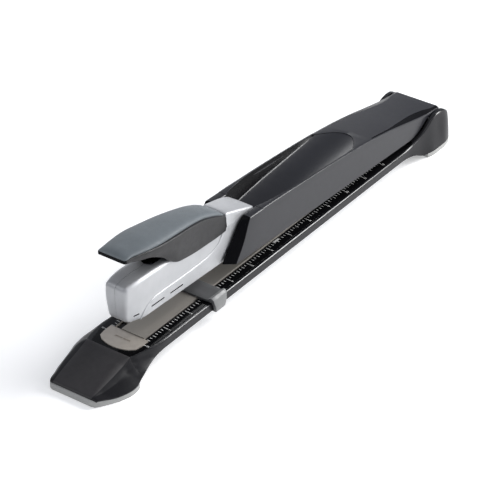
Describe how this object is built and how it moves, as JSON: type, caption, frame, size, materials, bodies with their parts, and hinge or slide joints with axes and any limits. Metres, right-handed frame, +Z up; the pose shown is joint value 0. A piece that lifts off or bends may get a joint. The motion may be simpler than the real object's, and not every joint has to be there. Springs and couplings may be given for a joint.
{
  "type": "long-reach stapler",
  "caption": "Long-reach desk stapler: low ruled base with anvil and sliding paper guide, hinged arm, silver head with a pressing handle, and a sliding staple track.",
  "frame": {"origin": "on the table under the middle of the base, front to back and side to side", "axes": "+Y towards the hinge at the rear, +Z up, +X to the right seen from the nose looking to the rear; the arm is at its raised rest"},
  "size_m": [0.0666, 0.464, 0.094],
  "materials": {
    "base_moulding": "satin moulded ABS, charcoal",
    "ruler_black": "glossy black acrylic panel",
    "foot_rubber": "light grey rubber",
    "nickel_steel": "satin nickel-plated steel",
    "zinc_steel": "zinc-plated steel",
    "spring_steel": "bright spring steel",
    "arm_moulding": "satin moulded ABS, charcoal",
    "head_silver": "silver metallic paint over a moulding",
    "handle_plastic": "satin moulded ABS, charcoal",
    "grip_soft": "blue-grey soft-touch overmould",
    "guide_grey": "mid-grey moulded acetal",
    "black_plastic": "black moulded acetal",
    "bronze": "sintered bronze"
  },
  "bodies": {
    "base": {"base_shell": "base_moulding", "ruler_panel": "ruler_black", "front_foot_pad": "foot_rubber", "rear_foot_pad": "foot_rubber", "base_stiffener": "zinc_steel", "deck_plate": "nickel_steel", "anvil_plate": "nickel_steel", "base_screws": "zinc_steel", "arm_pivot_shaft": "zinc_steel", "hinge_spacers": "black_plastic", "lift_spring": "spring_steel"},
    "arm": {"arm_shell": "arm_moulding", "arm_frame": "zinc_steel", "pivot_bushes": "bronze", "arm_screws": "zinc_steel", "head_shell_right": "head_silver", "head_shell_left": "head_silver", "head_yoke": "head_silver", "head_frame": "zinc_steel", "frame_rivets": "zinc_steel", "nose_guide": "zinc_steel", "magazine_channel": "zinc_steel", "power_spring": "spring_steel", "spring_anchor": "zinc_steel", "handle_pin": "zinc_steel", "lever_pin": "zinc_steel", "head_screws": "zinc_steel", "handle_return_spring": "spring_steel"},
    "handle": {"handle_body": "handle_plastic", "handle_grip": "grip_soft"},
    "lever": {"drive_lever": "zinc_steel"},
    "striker": {"striker": "spring_steel"},
    "track": {"staple_track": "zinc_steel", "pusher_rod": "zinc_steel", "track_pull": "black_plastic", "latch_pin": "zinc_steel", "pusher_spring": "spring_steel"},
    "latch": {"track_latch": "black_plastic"},
    "pusher": {"pusher": "zinc_steel"},
    "guide": {"paper_guide": "guide_grey"}
  },
  "joints": [
    {"name": "arm_hinge", "type": "hinge", "parent": "base", "child": "arm", "pos_m": [0, 0.204, 0.021], "axis": [1, 0, 0], "range_deg": [-60, 2.35], "stiffness_Nm_per_rad": 6, "springref_deg": -8.02, "deforming": ["lift_spring"]},
    {"name": "handle_press", "type": "hinge", "parent": "arm", "child": "handle", "pos_m": [0, -0.06866, 0.05921], "axis": [1, 0, 0], "range_deg": [0, 9], "stiffness_Nm_per_rad": 1, "springref_deg": -3.44, "deforming": ["handle_return_spring"]},
    {"name": "lever_rock", "type": "hinge", "parent": "arm", "child": "lever", "pos_m": [0, -0.12894, 0.05368], "axis": [1, 0, 0], "range_deg": [-9.2, 0.2]},
    {"name": "striker_lift", "type": "slide", "parent": "arm", "child": "striker", "axis": [0, 0.041, 0.9992], "range_m": [-0.0001, 0.007], "deforming": ["power_spring"]},
    {"name": "track_slide", "type": "slide", "parent": "arm", "child": "track", "axis": [0, 0.9992, -0.041], "range_m": [0, 0.1]},
    {"name": "latch_rock", "type": "hinge", "parent": "track", "child": "latch", "pos_m": [0, -0.0507, 0.03345], "axis": [1, 0, 0], "range_deg": [0, 10], "stiffness_Nm_per_rad": 0.02, "springref_deg": -5.73},
    {"name": "pusher_slide", "type": "slide", "parent": "track", "child": "pusher", "axis": [0, 0.9992, -0.041], "range_m": [0, 0.09], "stiffness_N_per_m": 40, "springref_m": -0.02, "deforming": ["pusher_spring"]},
    {"name": "guide_slide", "type": "slide", "parent": "base", "child": "guide", "axis": [0, 1, 0], "range_m": [-0.054, 0.214]}
  ],
  "couplings": [
    {"joint": "lever_rock", "follows": "handle_press", "ratio": -1},
    {"joint": "striker_lift", "follows": "handle_press", "m_per_rad": 0.043226}
  ]
}
